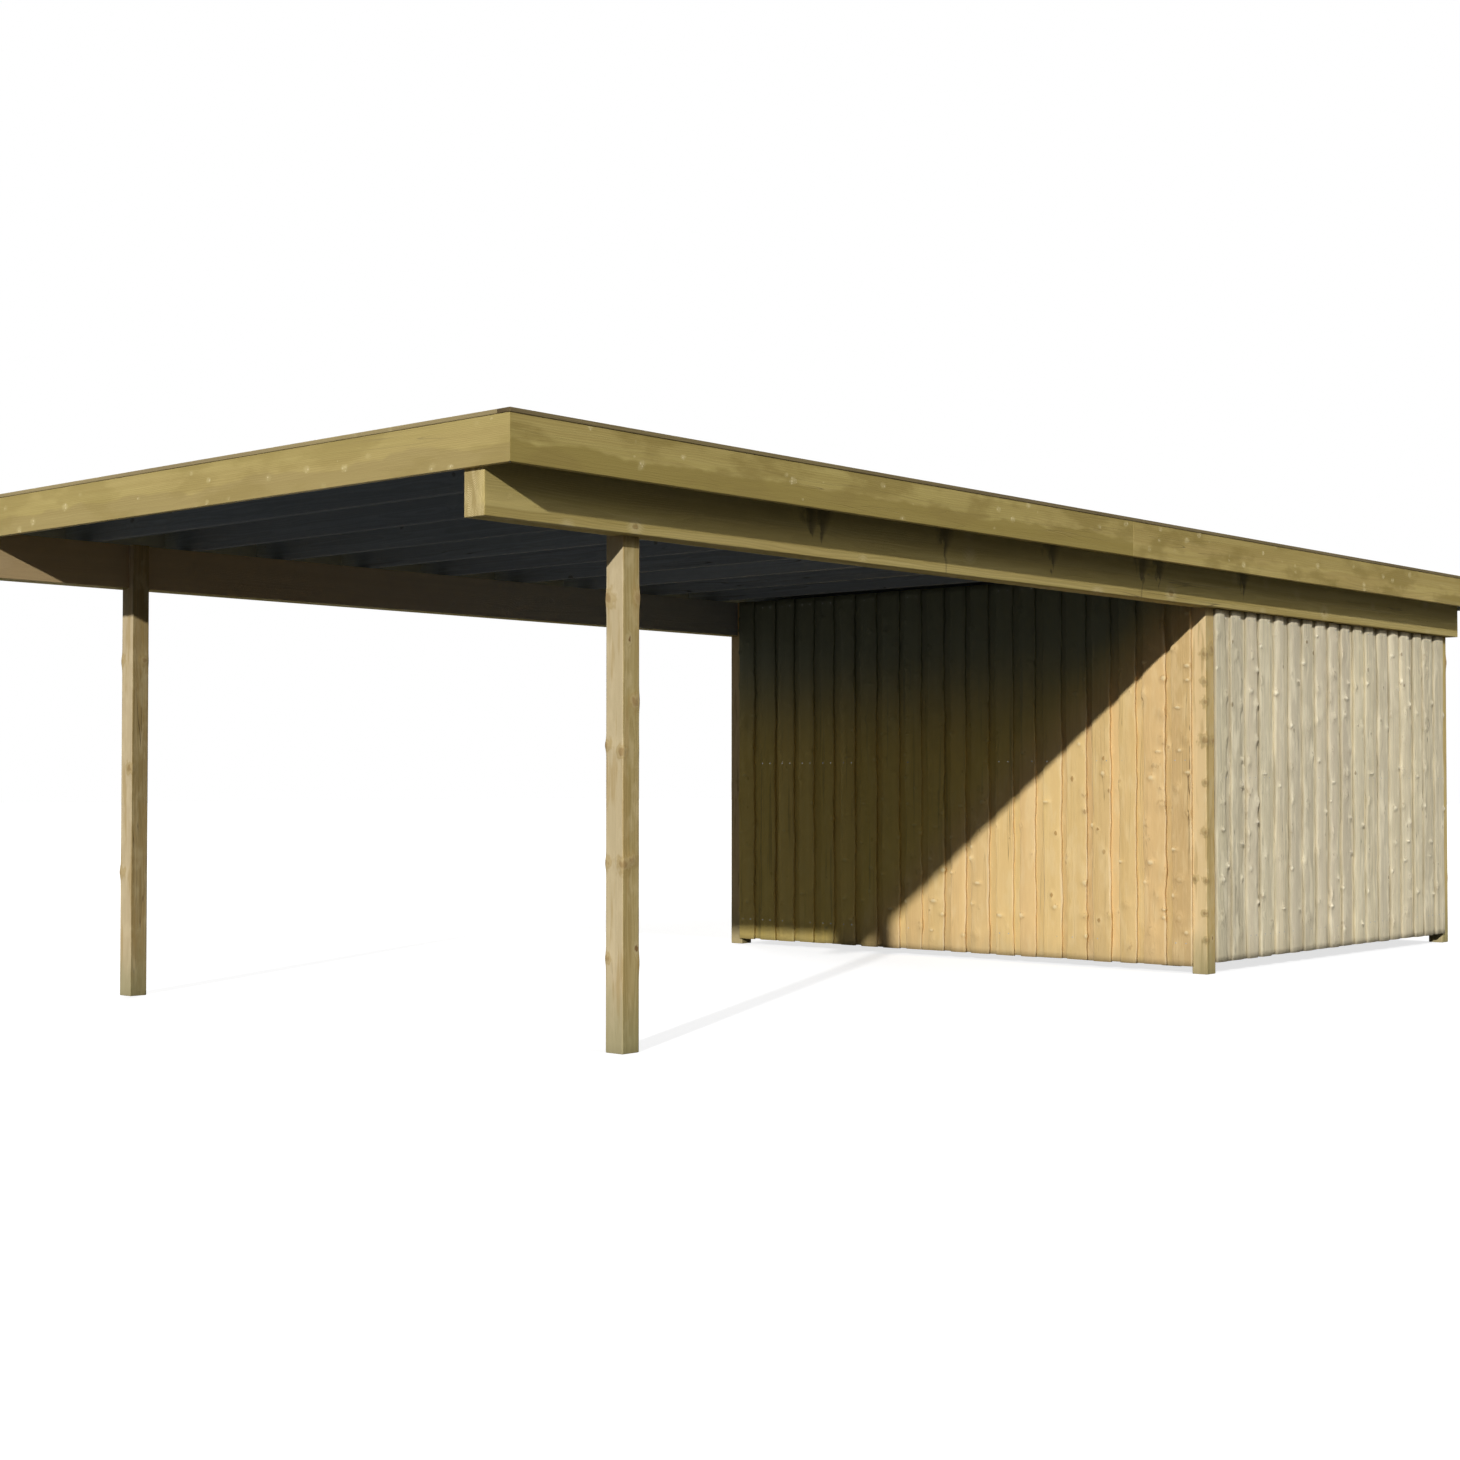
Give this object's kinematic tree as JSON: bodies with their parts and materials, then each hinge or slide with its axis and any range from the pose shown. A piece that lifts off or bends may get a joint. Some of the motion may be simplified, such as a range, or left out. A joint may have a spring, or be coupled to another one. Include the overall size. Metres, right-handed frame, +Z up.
{
  "type": "carport",
  "caption": "Flat-roofed timber carport on square posts, with deep edge fascias, long side beams and a board-clad store under the back of the roof.",
  "frame": {"origin": "on the ground under the middle of the roof", "axes": "+X to the right seen from the open front, +Y along the roof towards the store at the back, +Z up"},
  "size_m": [4.098, 9.048, 2.486],
  "materials": {
    "post_timber": "sawn, weathered",
    "beam_timber": "sawn, weathered",
    "rafter_timber": "sawn, weathered",
    "deck_boards": "sawn, weathered",
    "roof_felt": "matt, mineral surface",
    "fascia_timber": "sawn, weathered",
    "cap_timber": "sawn, weathered",
    "cladding_boards": "sawn, weathered",
    "rail_timber": "sawn, weathered"
  },
  "bodies": {
    "root": {"beam_left": "beam_timber", "beam_right": "beam_timber", "cap_front": "cap_timber", "cap_left": "cap_timber", "cap_rear": "cap_timber", "cap_right": "cap_timber", "cladding_left": "cladding_boards", "cladding_right": "cladding_boards", "cladding_store_front": "cladding_boards", "cladding_store_rear": "cladding_boards", "fascia_front": "fascia_timber", "fascia_left_front": "fascia_timber", "fascia_left_rear": "fascia_timber", "fascia_rear": "fascia_timber", "fascia_right_front": "fascia_timber", "fascia_right_rear": "fascia_timber", "post_front_left": "post_timber", "post_front_right": "post_timber", "post_rear_left": "post_timber", "post_rear_right": "post_timber", "post_store_left": "post_timber", "post_store_right": "post_timber", "rafters": "rafter_timber", "rails_left": "rail_timber", "rails_right": "rail_timber", "rails_store_front": "rail_timber", "rails_store_rear": "rail_timber", "roof_deck": "deck_boards", "roof_felt": "roof_felt"}
  },
  "joints": []
}
